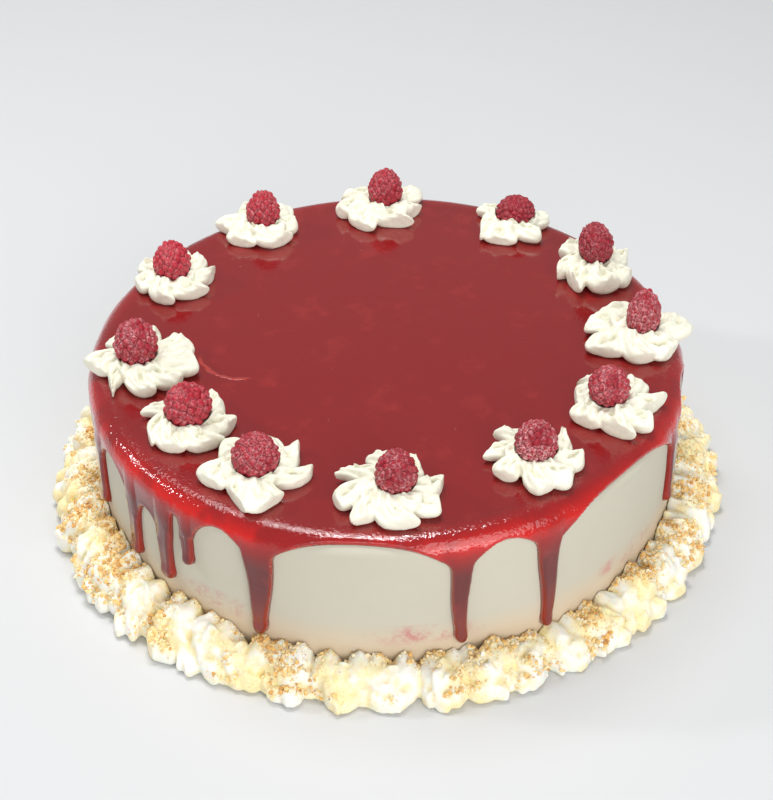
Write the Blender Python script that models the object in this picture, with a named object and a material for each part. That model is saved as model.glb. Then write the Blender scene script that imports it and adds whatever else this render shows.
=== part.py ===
# Round ice cream cake: a frosted body, a poured berry glaze with drips, a piped
# cream border round the foot, and twelve piped rosettes that each hold a raspberry.
# Metres, +Z up. The origin is at the centre of the flat underside.
# A bearing is an angle in degrees seen from above: 0 is the front (-Y), 90 is +X.

import math
import random

import bmesh
import bpy
from mathutils import Matrix, Vector

# Body of the cake, under its glaze.
CAKE_RADIUS = 0.1238
CAKE_HEIGHT = 0.0702
EDGE_ROUNDING = 0.006
WALL_SEGMENTS = 72
ROUNDING_SEGMENTS = 3

# Air left between pieces that touch, and the angle past which an edge looks sharp.
GAP = 0.0005
SHARP_ANGLE = math.radians(40.0)

# Glaze: a poured skin over the top, ending in arches and drips down the wall.
GLAZE_THICKNESS = 0.0016
GLAZE_WALL_THICKNESS = 0.0013
DRIP_SWELL = 0.0012
SWELL_AT_ROUNDING = 0.5
DRIP_EDGE_SHARE = 0.8
BEAD_SWELL = 0.0005
HEM_SHARE = 0.4
FLARE_DROP = 0.014
FLARE_WIDTH = 5.5
HEM_LENGTH = 0.003
HEM_LENGTH_SHARE = 0.2
GLAZE_ROUNDING_ROWS = 3
LEAST_ROW_STEP = 0.0003
GLAZE_COLUMN_SPACING = 8.0
ROUNDING_RELIEF = 0.0006

# Columns of points across a drip, in half widths, and the columns just beside it,
# in half widths from its edge, or at most in shares of the gap to the next drip.
DRIP_COLUMNS = (-1.0, -0.55, 0.0, 0.55, 1.0)
BESIDE_DRIP = ((0.15, 0.05), (1.2, 0.24), (2.8, 0.42))

# Drips in order round the cake: bearing, half width, height of the foot, and the
# height of the arch between this drip and the next one.
DRIPS = (
    (-171.0, 0.0036, 0.030, 0.0650),
    (-143.0, 0.0044, 0.019, 0.0690),
    (-119.0, 0.0032, 0.037, 0.0670),
    (-94.0, 0.0038, 0.024, 0.0640),
    (-70.0, 0.0042, 0.027, 0.0626),
    (-54.0, 0.0036, 0.025, 0.0545),
    (-44.2, 0.0038, 0.027, 0.0620),
    (-38.3, 0.0030, 0.040, 0.0655),
    (-23.4, 0.0046, 0.020, 0.0694),
    (12.5, 0.0034, 0.021, 0.0664),
    (29.2, 0.0036, 0.017, 0.0690),
    (67.5, 0.0034, 0.028, 0.0680),
    (91.0, 0.0036, 0.033, 0.0690),
    (114.0, 0.0044, 0.022, 0.0660),
    (139.0, 0.0032, 0.041, 0.0688),
    (163.0, 0.0040, 0.024, 0.0692),
)

# Rosettes and their raspberries: bearing and radius of the rosette's place on the
# cake, its width, its number of lobes, the height of its cream, then the berry's
# shift along X, the height of its middle over the glaze, its width, its length,
# how far it leans in degrees, and the bearing that it leans towards.
ROSETTES = (
    (-179.1, 0.1077, 0.0360, 7, 0.0088, 0.0022, 0.0126, 0.0168, 0.0206, 5.0, 120.0),
    (147.9, 0.1095, 0.0325, 6, 0.0084, 0.0021, 0.0090, 0.0187, 0.0136, 8.0, -40.0),
    (119.4, 0.1059, 0.0343, 7, 0.0120, 0.0004, 0.0166, 0.0164, 0.0206, 14.0, -135.0),
    (91.7, 0.1061, 0.0402, 7, 0.0090, 0.0022, 0.0128, 0.0149, 0.0226, 16.0, 165.0),
    (62.6, 0.1030, 0.0352, 7, 0.0092, -0.0032, 0.0134, 0.0177, 0.0180, 10.0, 90.0),
    (36.3, 0.0980, 0.0368, 8, 0.0086, -0.0010, 0.0113, 0.0178, 0.0194, 6.0, -20.0),
    (0.8, 0.0978, 0.0399, 8, 0.0088, 0.0018, 0.0125, 0.0168, 0.0214, 4.0, 30.0),
    (-30.6, 0.0985, 0.0391, 7, 0.0086, -0.0002, 0.0112, 0.0193, 0.0190, 7.0, 10.0),
    (-55.9, 0.0952, 0.0358, 7, 0.0088, 0.0003, 0.0117, 0.0201, 0.0190, 6.0, -80.0),
    (-82.2, 0.1018, 0.0407, 8, 0.0092, -0.0021, 0.0134, 0.0191, 0.0228, 5.0, 150.0),
    (-118.1, 0.1057, 0.0350, 7, 0.0086, -0.0006, 0.0116, 0.0173, 0.0200, 12.0, -170.0),
    (-147.9, 0.1082, 0.0335, 6, 0.0086, 0.0018, 0.0116, 0.0163, 0.0200, 10.0, 160.0),
)

# Rings of a rosette from its foot to its shoulder: share of the cream's height,
# radius of the lobe tips and of the creases as shares of the half width, share of
# the berry's shift, and the swirl's turn in degrees.
ROSETTE_RINGS = (
    (0.00, 0.90, 0.72, 0.0, 0.0),
    (0.20, 1.00, 0.78, 0.0, 4.0),
    (0.66, 0.82, 0.66, 0.6, 14.0),
    (1.00, 0.64, 0.58, 1.0, 22.0),
)
LOBE_UNEVENNESS = 0.08
DISH_WALL = 0.0011
DISH_DEPTH = 0.001
BERRY_CLEARANCE = 0.0006
LEAST_DISH_RADIUS = 0.002
CREAM_UNDER_BERRY = 0.0009

# Drupelets of a raspberry stand out of the berry by this share of its radius. The
# creases between them are the points a third of the way along the edges of a unit
# icosahedron, which lie nearer its middle than its corners and not as near as the
# middles of its faces.
DRUPELET_RELIEF = 0.11
CREASE_DISTANCES = (0.82, 0.99)
BERRY_TAPER = 0.14
BERRY_TURN = 37.0

# Cream border: star-tip dollops piped side by side against the foot of the wall,
# each with three lobes outward. Angles are from the dollop's outward direction.
DOLLOPS = 34
LOBE_ANGLES = (-58.0, -30.0, 0.0, 30.0, 58.0)
DOLLOP_TURN = 9.0
DOLLOP_DISTANCE = 0.1292
DOLLOP_HALF_WIDTH = 0.0124
DOLLOP_CREASE = 0.82
DOLLOP_UNEVENNESS = 0.08
JOINT_REACH = 0.34
JOINT_HEIGHT = 0.62
WALL_TOP_SHARE = 0.94

# Reach of the border from the cake's axis and its height, at bearings round it.
BORDER_SHAPE = (
    (-180.0, 0.1445, 0.0198),
    (-135.0, 0.1455, 0.0180),
    (-95.0, 0.1475, 0.0205),
    (-60.0, 0.1475, 0.0238),
    (-42.0, 0.1455, 0.0235),
    (-22.0, 0.1425, 0.0188),
    (0.0, 0.1415, 0.0190),
    (13.0, 0.1412, 0.0196),
    (28.0, 0.1412, 0.0163),
    (60.0, 0.1450, 0.0210),
    (90.0, 0.1470, 0.0220),
    (135.0, 0.1455, 0.0200),
    (180.0, 0.1445, 0.0198),
)

# Rings of a dollop: share of its height, share of its outline, and its swirl.
DOLLOP_RINGS = (
    (0.00, 0.95, 0.0),
    (0.22, 1.00, 0.0),
    (0.66, 0.80, 5.0),
    (1.00, 0.28, 16.0),
)

# The largest biscuit crumbs strewn on the border.
CRUMBS = 60
CRUMB_SIZES = (0.0022, 0.0036)
CRUMB_STRETCH = (0.75, 1.2)
CRUMB_ROWS = (1.2, 4.0)
CRUMB_WALL_CLEARANCE = 0.0034

CREAM = (0.93, 0.91, 0.86, 1.0)
FROSTING = (0.80, 0.76, 0.68, 1.0)
GLAZE_RED = (0.30, 0.015, 0.015, 1.0)
BERRY_RED = (0.42, 0.02, 0.05, 1.0)

GLAZE_UPPER = CAKE_HEIGHT + GAP + GLAZE_THICKNESS
ROUNDING_HEIGHT = CAKE_HEIGHT - EDGE_ROUNDING
SKIN_ROUNDING = EDGE_ROUNDING + GAP
ROUNDING_LENGTH = SKIN_ROUNDING * math.pi / 2


def clear_scene():
    for item in list(bpy.data.objects):
        bpy.data.objects.remove(item, do_unlink=True)


def material(name, colour, roughness):
    finish = bpy.data.materials.new(name)
    finish.use_nodes = True
    shader = finish.node_tree.nodes["Principled BSDF"]
    shader.inputs["Base Color"].default_value = colour
    shader.inputs["Roughness"].default_value = roughness
    shader.inputs["Metallic"].default_value = 0.0
    return finish


def place(angle, radius, height):
    """Point at a bearing, a distance from the axis and a height."""
    turn = math.radians(angle)
    return Vector((radius * math.sin(turn), -radius * math.cos(turn), height))


def finished_object(name, bm, finish):
    """Make an object of a closed bmesh, with faces outward and smooth shading."""
    bmesh.ops.recalc_face_normals(bm, faces=bm.faces)
    mesh = bpy.data.meshes.new(name)
    bm.to_mesh(mesh)
    bm.free()
    mesh.shade_smooth()
    mesh.set_sharp_from_angle(angle=SHARP_ANGLE)
    if finish is not None:
        mesh.materials.append(finish)
    item = bpy.data.objects.new(name, mesh)
    bpy.context.scene.collection.objects.link(item)
    return item


def loft(rings, endless=False):
    """Closed skin through rings of equally many points.

    Its two ends are capped, or joined to each other if it is endless.
    """
    bm = bmesh.new()
    loops = [[bm.verts.new(point) for point in ring] for ring in rings]
    count = len(loops[0])
    pairs = list(zip(loops, loops[1:]))
    if endless:
        pairs.append((loops[-1], loops[0]))
    else:
        bm.faces.new(loops[0])
        bm.faces.new(loops[-1])
    for lower, upper in pairs:
        for i in range(count):
            j = (i + 1) % count
            bm.faces.new((lower[i], lower[j], upper[j], upper[i]))
    return bm


def make_cake():
    bm = bmesh.new()
    bmesh.ops.create_cone(
        bm,
        cap_ends=True,
        segments=WALL_SEGMENTS,
        radius1=CAKE_RADIUS,
        radius2=CAKE_RADIUS,
        depth=CAKE_HEIGHT,
        matrix=Matrix.Translation((0.0, 0.0, CAKE_HEIGHT / 2)),
    )
    rim = [
        edge for edge in bm.edges
        if all(vert.co.z > CAKE_HEIGHT / 2 for vert in edge.verts)
    ]
    bmesh.ops.bevel(
        bm,
        geom=rim,
        offset=EDGE_ROUNDING,
        segments=ROUNDING_SEGMENTS,
        profile=0.5,
        affect='EDGES',
        material=-1,
    )
    return finished_object("cake", bm, material("frosting", FROSTING, 0.6))


def skin_point(angle, run, offset):
    """Point over the cake's skin, a run down from where its edge starts to round."""
    radius = SKIN_ROUNDING + offset
    if run <= ROUNDING_LENGTH:
        turn = run / SKIN_ROUNDING
        reach = CAKE_RADIUS - EDGE_ROUNDING + radius * math.sin(turn)
        return place(angle, reach, ROUNDING_HEIGHT + radius * math.cos(turn))
    reach = CAKE_RADIUS - EDGE_ROUNDING + radius
    return place(angle, reach, ROUNDING_HEIGHT - (run - ROUNDING_LENGTH))


def run_to_height(height):
    """Run down the skin at which it has come down to a height."""
    if height <= ROUNDING_HEIGHT:
        return ROUNDING_LENGTH + ROUNDING_HEIGHT - height
    return SKIN_ROUNDING * math.acos((height - ROUNDING_HEIGHT) / SKIN_ROUNDING)


def half_angle(drip):
    return math.degrees(drip[1] / CAKE_RADIUS)


def drip_column(drip, share):
    """Bearing, hem run, swell and edge share of a column that crosses a drip."""
    bearing, half_width, foot = drip[:3]
    round_off = math.sqrt(max(0.0, 1.0 - share * share))
    hem = run_to_height(foot) - half_width * (1.0 - round_off)
    edge = DRIP_EDGE_SHARE + (1.0 - DRIP_EDGE_SHARE) * round_off
    return bearing + share * half_angle(drip), hem, round_off, edge


def arch_column(drip, angle, left_edge, right_edge):
    """The same for a column between two drips, where the hem rises in an arch."""
    span = right_edge - left_edge
    width = min(FLARE_WIDTH, span / 4)
    flare = math.exp((left_edge - angle) / width) + math.exp((angle - right_edge) / width)
    flare -= 2.0 * math.exp(-span / (2 * width))
    hem = run_to_height(drip[3]) + FLARE_DROP * max(0.0, flare)
    return angle, hem, 0.0, 1.0


def glaze_columns():
    columns = []
    for index, drip in enumerate(DRIPS):
        columns += [drip_column(drip, share) for share in DRIP_COLUMNS]
        following = DRIPS[(index + 1) % len(DRIPS)]
        turn = 360.0 if index == len(DRIPS) - 1 else 0.0
        left_edge = drip[0] + half_angle(drip)
        right_edge = following[0] + turn - half_angle(following)
        span = right_edge - left_edge
        left = [
            left_edge + min(widths * half_angle(drip), most * span)
            for widths, most in BESIDE_DRIP
        ]
        right = [
            right_edge - min(widths * half_angle(following), most * span)
            for widths, most in reversed(BESIDE_DRIP)
        ]
        steps = math.ceil((right[0] - left[-1]) / GLAZE_COLUMN_SPACING)
        between = [
            left[-1] + (right[0] - left[-1]) * step / steps
            for step in range(1, steps)
        ]
        for angle in left + between + right:
            columns.append(arch_column(drip, angle, left_edge, right_edge))
    return columns


def glaze_column_points(angle, hem, swell, edge):
    """Points of one column: over the outside, round the hem and back up inside."""
    hem_length = min(HEM_LENGTH, HEM_LENGTH_SHARE * hem)
    outer = []
    inner = []
    for row in range(GLAZE_ROUNDING_ROWS + 1):
        rows_left = GLAZE_ROUNDING_ROWS + 1 - row
        run = row * ROUNDING_LENGTH / GLAZE_ROUNDING_ROWS
        run = min(run, hem - hem_length - rows_left * LEAST_ROW_STEP)
        wall_share = run / ROUNDING_LENGTH
        thickness = GLAZE_THICKNESS
        thickness += (GLAZE_WALL_THICKNESS - GLAZE_THICKNESS) * wall_share
        thickness += SWELL_AT_ROUNDING * DRIP_SWELL * swell * wall_share
        outer.append(skin_point(angle, run, thickness))
        inner.append(skin_point(angle, run, inner_offset(run)))
    bead = GLAZE_WALL_THICKNESS * edge + (DRIP_SWELL + BEAD_SWELL) * swell
    outer.append(skin_point(angle, hem - hem_length, bead))
    hem_offset = inner_offset(hem)
    outer.append(skin_point(angle, hem, hem_offset + bead * HEM_SHARE))
    inner.append(skin_point(angle, hem, hem_offset))
    return outer + inner[::-1]


def inner_offset(run):
    """The glaze's inner side stands clear of the body where the edge is round."""
    turn = min(run / SKIN_ROUNDING, math.pi / 2)
    return ROUNDING_RELIEF * math.sin(2.0 * turn)


def make_glaze():
    columns = [glaze_column_points(*column) for column in glaze_columns()]
    rings = list(zip(*columns))
    return finished_object("glaze", loft(rings), material("berry_glaze", GLAZE_RED, 0.12))


def berry_section(row, height):
    """Middle and radius of a leaning berry's level section at a height over the glaze."""
    angle, ring_radius, shift = row[0], row[1], row[5]
    middle, width, length, lean, lean_bearing = row[6:]
    rise = height - middle
    sine = math.sin(math.radians(lean))
    cosine = math.cos(math.radians(lean))
    across = (width / 2) ** -2
    along = (length / 2) ** -2
    level = across * cosine ** 2 + along * sine ** 2
    skew = (along - across) * sine * cosine
    upright = across * sine ** 2 + along * cosine ** 2
    fullness = max(0.0, 1.0 - (upright - skew ** 2 / level) * rise ** 2)
    radius = math.sqrt(fullness * max(1.0 / level, 1.0 / across))
    drift = place(lean_bearing, -skew * rise / level, 0.0)
    foot = place(angle, ring_radius, GLAZE_UPPER + height)
    return foot + Vector((shift, 0.0, 0.0)) + drift, radius


def make_rosette(number, row, finish):
    angle, ring_radius, width, lobes, cream_height = row[:5]
    draw = random.Random(number)
    count = 2 * lobes
    start = draw.uniform(0.0, 360.0)
    reach = [draw.uniform(1.0 - LOBE_UNEVENNESS, 1.0) for lobe in range(lobes)]
    corner = 1.0 / math.cos(math.pi / count)

    rim = cream_height - DISH_DEPTH
    floor = max(CREAM_UNDER_BERRY, row[6] - row[8] / 2 - BERRY_CLEARANCE)
    rim_middle, rim_radius = berry_section(row, rim)
    floor_middle = berry_section(row, floor)[0]
    belly_radius = berry_section(row, (rim + floor) / 2)[1]
    rim_radius = (rim_radius + BERRY_CLEARANCE) * corner
    belly_radius = (belly_radius + BERRY_CLEARANCE) * corner
    floor_radius = max(LEAST_DISH_RADIUS, 2.0 * belly_radius - rim_radius)

    rings = []
    base = place(angle, ring_radius, GLAZE_UPPER + GAP)
    for share, tip, crease, shift, swirl in ROSETTE_RINGS:
        height = GLAZE_UPPER + GAP + share * (cream_height - GAP)
        middle = base.lerp(rim_middle, shift)
        ring = []
        for i in range(count):
            radius = tip * width / 2 * reach[i // 2] if i % 2 == 0 else crease * width / 2
            if shift == 1.0:
                radius = max(radius, rim_radius + DISH_WALL)
            spoke = place(start + swirl + 360.0 * i / count, radius, 0.0)
            ring.append(Vector((middle.x, middle.y, height)) + spoke)
        rings.append(ring)
    swirl = ROSETTE_RINGS[-1][4]
    for middle, radius in ((rim_middle, rim_radius), (floor_middle, floor_radius)):
        rings.append([
            middle + place(start + swirl + 360.0 * i / count, radius, 0.0)
            for i in range(count)
        ])
    return finished_object(f"rosette_{number:02d}", loft(rings), finish)


def make_raspberry(number, row, finish):
    """Thirty-two drupelets: the corners and the face centres of an icosahedron."""
    bm = bmesh.new()
    bmesh.ops.create_icosphere(bm, subdivisions=1, radius=1.0)
    bmesh.ops.subdivide_edges(bm, edges=bm.edges, cuts=2, use_grid_fill=True)
    bmesh.ops.triangulate(bm, faces=bm.faces)
    for vert in bm.verts:
        distance = vert.co.length
        crease = CREASE_DISTANCES[0] < distance < CREASE_DISTANCES[1]
        vert.co.normalize()
        vert.co *= 1.0 - DRUPELET_RELIEF * crease
        taper = 1.0 - BERRY_TAPER * max(0.0, vert.co.z)
        vert.co.x *= taper
        vert.co.y *= taper
    middle, width, length, lean, lean_bearing = row[6:]
    size = Matrix.Diagonal((width / 2, width / 2, length / 2, 1.0))
    spin = Matrix.Rotation(math.radians(BERRY_TURN * number), 4, 'Z')
    hinge = place(lean_bearing + 90.0, 1.0, 0.0)
    tilt = Matrix.Rotation(math.radians(lean), 4, hinge)
    seat = Matrix.Translation(berry_section(row, middle)[0])
    bmesh.ops.transform(bm, matrix=seat @ tilt @ size @ spin, verts=bm.verts)
    return finished_object(f"raspberry_{number:02d}", bm, finish)


def border_size(angle):
    """Reach and height of the border at a bearing, blended between its rows."""
    angle = (angle + 180.0) % 360.0 - 180.0
    for left, right in zip(BORDER_SHAPE, BORDER_SHAPE[1:]):
        if left[0] <= angle <= right[0]:
            share = (angle - left[0]) / (right[0] - left[0])
            share = share * share * (3.0 - 2.0 * share)
            reach = left[1] + (right[1] - left[1]) * share
            return reach, left[2] + (right[2] - left[2]) * share
    return BORDER_SHAPE[0][1:]


def dollop_column(dollop, lobe_angle, stretch):
    """Points of one column, from its foot up over the dollop and down the wall."""
    bearing, reach, height = dollop
    length = reach - DOLLOP_DISTANCE
    middle = place(bearing, DOLLOP_DISTANCE, 0.0)
    outward = place(bearing, 1.0, 0.0)
    sideways = place(bearing + 90.0, 1.0, 0.0)
    points = []
    for level, share, swirl in DOLLOP_RINGS:
        turn = math.radians(lobe_angle + swirl)
        side = DOLLOP_HALF_WIDTH * share * stretch * math.sin(turn)
        out = length * share * stretch * math.cos(turn)
        rise = Vector((0.0, 0.0, level * height))
        points.append(middle + sideways * side + outward * out + rise)
    return close_column(points, height)


def joint_column(dollop, following):
    """Points of the crease where two dollops meet."""
    bearing = (dollop[0] + following[0]) / 2
    length = (dollop[1] + following[1]) / 2 - DOLLOP_DISTANCE
    height = (dollop[2] + following[2]) / 2
    points = []
    for level, share, swirl in DOLLOP_RINGS:
        distance = DOLLOP_DISTANCE + JOINT_REACH * length * share
        points.append(place(bearing, distance, JOINT_HEIGHT * level * height))
    return close_column(points, JOINT_HEIGHT * height)


def close_column(points, height):
    """Add a column's two points at the wall, straight inward of its widest point."""
    widest = points[1]
    bearing = math.degrees(math.atan2(widest.x, -widest.y))
    wall = CAKE_RADIUS + GAP
    top = min(points[-1].z, WALL_TOP_SHARE * height)
    return points + [place(bearing, wall, top), place(bearing, wall, 0.0)]


def border_columns(draw):
    spacing = 360.0 / DOLLOPS
    dollops = []
    for index in range(DOLLOPS):
        bearing = -180.0 + spacing * (index + draw.uniform(-0.08, 0.08))
        reach, height = border_size(bearing)
        reach += draw.uniform(-0.0015, 0.0008)
        dollops.append((bearing, reach, height * draw.uniform(0.90, 1.0)))
    columns = []
    for index, dollop in enumerate(dollops):
        turn = draw.uniform(-DOLLOP_TURN, DOLLOP_TURN)
        for number, lobe_angle in enumerate(LOBE_ANGLES):
            stretch = draw.uniform(1.0 - DOLLOP_UNEVENNESS, 1.0)
            is_crease = number % 2 == 1
            if is_crease:
                stretch *= DOLLOP_CREASE
            columns.append(dollop_column(dollop, lobe_angle + turn, stretch))
        following = dollops[(index + 1) % DOLLOPS]
        if index == DOLLOPS - 1:
            following = (following[0] + 360.0,) + following[1:]
        columns.append(joint_column(dollop, following))
    return columns


def crumb_place(columns, index, draw):
    """Point on the border's upper side, at an even step round it."""
    position = len(columns) * (index + draw.uniform(0.0, 1.0)) / CRUMBS
    first = columns[int(position) % len(columns)]
    second = columns[(int(position) + 1) % len(columns)]
    across = position % 1.0
    climb = draw.uniform(*CRUMB_ROWS)
    row = min(len(DOLLOP_RINGS) - 1, int(climb))
    lower = first[row].lerp(second[row], across)
    upper = first[row + 1].lerp(second[row + 1], across)
    return lower.lerp(upper, climb - row)


def make_crumb(middle, size, draw):
    bm = bmesh.new()
    bmesh.ops.create_icosphere(bm, subdivisions=1, radius=size / 2)
    stretch = [draw.uniform(*CRUMB_STRETCH) for axis in range(3)]
    bmesh.ops.scale(bm, vec=stretch, verts=bm.verts)
    spin = Matrix.Rotation(draw.uniform(0.0, math.tau), 4, 'X')
    turn = Matrix.Rotation(draw.uniform(0.0, math.tau), 4, 'Z')
    bmesh.ops.transform(bm, matrix=Matrix.Translation(middle) @ turn @ spin, verts=bm.verts)
    return finished_object("crumb", bm, None)


def make_crumbs(columns, draw):
    group = bpy.data.collections.new("crumbs")
    bpy.context.scene.collection.children.link(group)
    for index in range(CRUMBS):
        size = draw.uniform(*CRUMB_SIZES)
        nearest = CAKE_RADIUS + size / 2 * CRUMB_STRETCH[1] + CRUMB_WALL_CLEARANCE
        middle = crumb_place(columns, index, draw)
        while math.hypot(middle.x, middle.y) < nearest or middle.z < size:
            middle = crumb_place(columns, index, draw)
        crumb = make_crumb(middle, size, draw)
        bpy.context.scene.collection.objects.unlink(crumb)
        group.objects.link(crumb)
    return group


def make_border():
    """The piped ring, with the largest crumbs fused to it by one union."""
    draw = random.Random(7)
    columns = border_columns(draw)
    rings = list(zip(*columns))
    finish = material("piped_cream", CREAM, 0.55)
    border = finished_object("cream_border", loft(rings, endless=True), finish)
    crumbs = make_crumbs(columns, draw)
    join = border.modifiers.new("crumbs", 'BOOLEAN')
    join.operation = 'UNION'
    join.solver = 'MANIFOLD'
    join.operand_type = 'COLLECTION'
    join.collection = crumbs
    graph = bpy.context.evaluated_depsgraph_get()
    joined = bpy.data.meshes.new_from_object(border.evaluated_get(graph))
    border.modifiers.clear()
    border.data = joined
    for crumb in list(crumbs.objects):
        bpy.data.objects.remove(crumb, do_unlink=True)
    bpy.data.collections.remove(crumbs)


def make_all():
    clear_scene()
    make_cake()
    make_glaze()
    make_border()
    rosette_cream = material("rosette_cream", CREAM, 0.55)
    berry_skin = material("raspberry_skin", BERRY_RED, 0.4)
    for number, row in enumerate(ROSETTES, start=1):
        make_rosette(number, row, rosette_cream)
        make_raspberry(number, row, berry_skin)


make_all()
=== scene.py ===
import math
import random

import bmesh
import bpy
import numpy as np
from mathutils import Matrix, Vector, noise
from mathutils.bvhtree import BVHTree


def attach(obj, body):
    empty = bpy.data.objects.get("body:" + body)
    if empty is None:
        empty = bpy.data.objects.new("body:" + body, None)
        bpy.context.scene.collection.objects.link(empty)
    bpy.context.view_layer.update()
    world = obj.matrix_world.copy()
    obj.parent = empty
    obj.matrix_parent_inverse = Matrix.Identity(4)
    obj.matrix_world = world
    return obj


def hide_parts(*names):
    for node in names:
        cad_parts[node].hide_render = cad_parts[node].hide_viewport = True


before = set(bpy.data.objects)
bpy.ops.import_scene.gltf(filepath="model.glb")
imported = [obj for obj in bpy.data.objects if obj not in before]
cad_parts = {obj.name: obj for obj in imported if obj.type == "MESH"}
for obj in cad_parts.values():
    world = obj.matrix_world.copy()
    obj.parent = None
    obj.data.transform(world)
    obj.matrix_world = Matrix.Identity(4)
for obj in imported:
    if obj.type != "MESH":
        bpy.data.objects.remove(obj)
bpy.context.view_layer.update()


# ---- Cake body
# A round of ice cream, spread all over with a smooth off-white frosting. It shows
# between the drips: matt, faintly stroked by the spatula, and stained by the glaze
# near its foot. The glaze and the cream border lie on it.
CAKE_RADIUS = 0.1243
CAKE_TOP = 0.0707
SHOULDER = 0.0065
WALL_STEPS = 288
WALL_ROWS = 36
SHOULDER_STEPS = 8
FROSTING_WHITE = (0.59, 0.555, 0.452, 1.0)
FROSTING_SHADE = (0.54, 0.508, 0.405, 1.0)
# Painted light: a warm glow thrown up from the border onto the wall just above it.
FROSTING_BORDER_GLOW = (0.73, 0.55, 0.37, 1.0)
STAIN_PINK = (0.56, 0.17, 0.17, 1.0)
SPECK_BROWN = (0.20, 0.12, 0.07, 1.0)
BROAD_RELIEF = 0.00030
STROKE_RELIEF = 0.00008

# Pink smears on the wall: bearing, height, half width in degrees, half height.
STAINS = (
    (6.0, 0.0250, 9.0, 0.0048),
    (-32.0, 0.0265, 8.0, 0.0045),
    (50.0, 0.0265, 8.0, 0.0038),
    (118.0, 0.0240, 8.0, 0.0040),
    (-155.0, 0.0220, 7.0, 0.0040),
    (-100.0, 0.0260, 5.0, 0.0035),
)


def place(angle, radius, height):
    """Point at a bearing, a distance from the axis and a height. 0 is the front."""
    turn = math.radians(angle)
    return Vector((radius * math.sin(turn), -radius * math.cos(turn), height))


def spread_relief(angle, height):
    """How far the spread frosting stands out, in metres, at a place on the wall."""
    side = place(angle, 1.0, 0.0)
    broad = noise.noise(Vector((side.x * 2.3, side.y * 2.3, height * 16.0)))
    strokes = noise.noise(Vector((side.x * 4.0, side.y * 4.0, height * 130.0 + 9.0)))
    return BROAD_RELIEF * broad + STROKE_RELIEF * strokes


def add_node(tree, kind, settings=None, **inputs):
    """Add a node, with a value or a link for each input that is named."""
    node = tree.nodes.new(kind)
    for name, value in (settings or {}).items():
        setattr(node, name, value)
    for name, value in inputs.items():
        socket = node.inputs[name.replace("_", " ")]
        if isinstance(value, bpy.types.NodeSocket):
            tree.links.new(value, socket)
        else:
            socket.default_value = value
    return node


def speckle(tree, where, scale, detail=3.0, roughness=0.55):
    """A cloudy pattern between 0 and 1."""
    cloud = add_node(tree, 'ShaderNodeTexNoise', Vector=where, Scale=scale, Detail=detail,
                     Roughness=roughness)
    return cloud.outputs["Fac"]


def mask(tree, value, low, high):
    """Grey that runs from 0 at low to 1 at high."""
    node = add_node(tree, 'ShaderNodeMapRange', {"interpolation_type": 'SMOOTHSTEP'},
                    Value=value, From_Min=low, From_Max=high)
    return node.outputs["Result"]


def maths(tree, operation, first, second=0.0):
    """The result of one operation on values or links."""
    node = tree.nodes.new('ShaderNodeMath')
    node.operation = operation
    for socket, value in zip(node.inputs, (first, second)):
        if isinstance(value, bpy.types.NodeSocket):
            tree.links.new(value, socket)
        else:
            socket.default_value = value
    return node.outputs["Value"]


def times(tree, first, second):
    return maths(tree, 'MULTIPLY', first, second)


def plus(tree, first, second):
    return maths(tree, 'ADD', first, second)


def blended(tree, share, first, second):
    """The first colour where the share is 0, the second where it is 1."""
    return add_node(tree, 'ShaderNodeMixRGB', Fac=share, Color1=first,
                    Color2=second).outputs["Color"]


def attribute(tree, name):
    """A value that the mesh keeps at its points."""
    return add_node(tree, 'ShaderNodeAttribute', {"attribute_name": name}).outputs["Fac"]


def connect(tree, node, **links):
    """Link outputs to a node's inputs."""
    for name, output in links.items():
        tree.links.new(output, node.inputs[name.replace("_", " ")])


def emboss(tree, height, strength, distance):
    """The normal that a relief gives, with its distance in metres."""
    return add_node(tree, 'ShaderNodeBump', Height=height, Strength=strength,
                    Distance=distance).outputs["Normal"]


def new_finish(name, **constants):
    """A material, with the constants set on the shader's own sockets."""
    finish = bpy.data.materials.new(name)
    finish.use_nodes = True
    shader = finish.node_tree.nodes["Principled BSDF"]
    for socket, value in constants.items():
        shader.inputs[socket.replace("_", " ")].default_value = value
    where = finish.node_tree.nodes.new('ShaderNodeTexCoord').outputs["Object"]
    return finish, finish.node_tree, shader, where


def add_object(name, data):
    """Put a new object in the scene."""
    item = bpy.data.objects.new(name, data)
    bpy.context.scene.collection.objects.link(item)
    return item


def add_piece(name, mesh, finish, slot, *nodes, smooth=True):
    """Put a finished mesh in the scene, in the place of its solids."""
    mesh.name = name
    mesh.materials.clear()
    mesh.materials.append(finish)
    if smooth:
        mesh.shade_smooth()
    piece = add_object(name, mesh)
    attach(piece, "root")
    if nodes:
        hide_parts(*nodes)
    return piece


def mesh_of(bm):
    mesh = bpy.data.meshes.new("working")
    bm.to_mesh(mesh)
    bm.free()
    return mesh


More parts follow.
